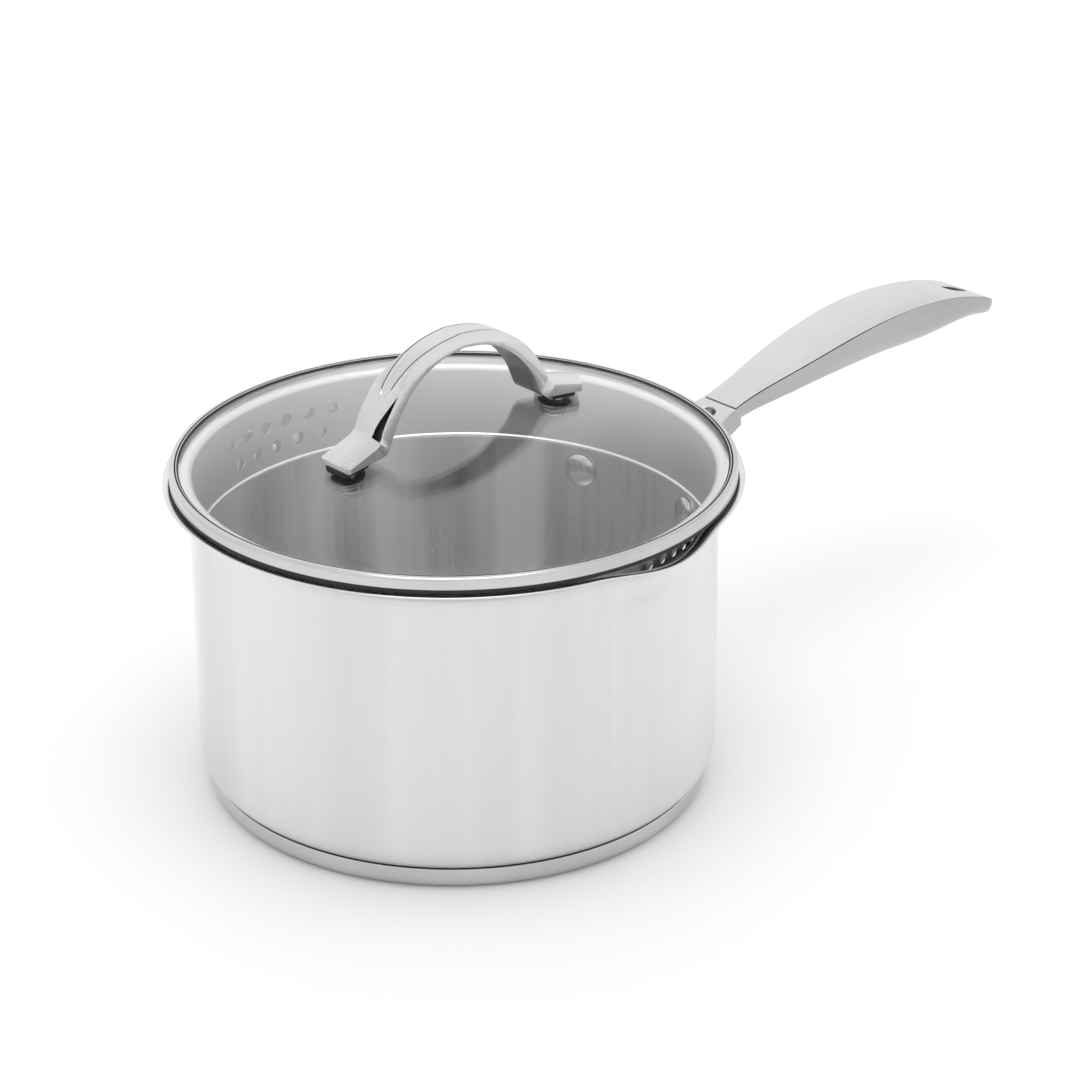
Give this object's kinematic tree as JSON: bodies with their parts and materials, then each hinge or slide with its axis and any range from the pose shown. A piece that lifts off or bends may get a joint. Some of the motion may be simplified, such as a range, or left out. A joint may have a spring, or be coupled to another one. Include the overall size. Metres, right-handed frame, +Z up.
{
  "type": "saucepan with glass lid",
  "caption": "Stainless steel saucepan with pouring lips, a long riveted handle, and a lift-off domed glass lid with a bow grip and a strainer skirt under its steel rim.",
  "frame": {"origin": "centre of the flat underside of the base, on the pan's axis", "axes": "+X along the long handle, away from the pan; +Z up along the pan's axis; the pouring lips are at -Y and +Y"},
  "size_m": [0.377, 0.205, 0.166],
  "materials": {
    "polished_steel": "bright polished stainless steel with faint drawing lines",
    "satin_steel": "satin stainless steel with a fine grain",
    "fastener_steel": "semi-polished stainless steel",
    "core_aluminium": "plain pressed aluminium",
    "black_silicone": "matt black silicone",
    "clear_glass": "clear tempered glass"
  },
  "bodies": {
    "pan": {"pan_body": "polished_steel", "base_core_disc": "core_aluminium", "base_cap": "polished_steel", "handle_fork": "satin_steel", "handle_top_plate": "satin_steel", "handle_belly": "satin_steel", "handle_rivet_left": "fastener_steel", "handle_rivet_right": "fastener_steel"},
    "lid_seat": {"lid_seal": "black_silicone"},
    "lid": {"lid_band": "polished_steel", "lid_strainer_skirt": "satin_steel", "lid_glass": "clear_glass", "lid_bow": "polished_steel", "lid_foot_gasket_front": "black_silicone", "lid_foot_gasket_rear": "black_silicone", "lid_soft_washer_front": "black_silicone", "lid_soft_washer_rear": "black_silicone", "lid_steel_washer_front": "fastener_steel", "lid_steel_washer_rear": "fastener_steel", "lid_screw_front": "fastener_steel", "lid_screw_rear": "fastener_steel"}
  },
  "joints": [
    {"name": "lid_lift", "type": "slide", "parent": "pan", "child": "lid_seat", "axis": [0, 0, 1], "range_m": [0, 0.15]},
    {"name": "lid_turn", "type": "hinge", "parent": "lid_seat", "child": "lid", "pos_m": [0, 0, 0.116], "axis": [0, 0, 1], "continuous": true}
  ]
}
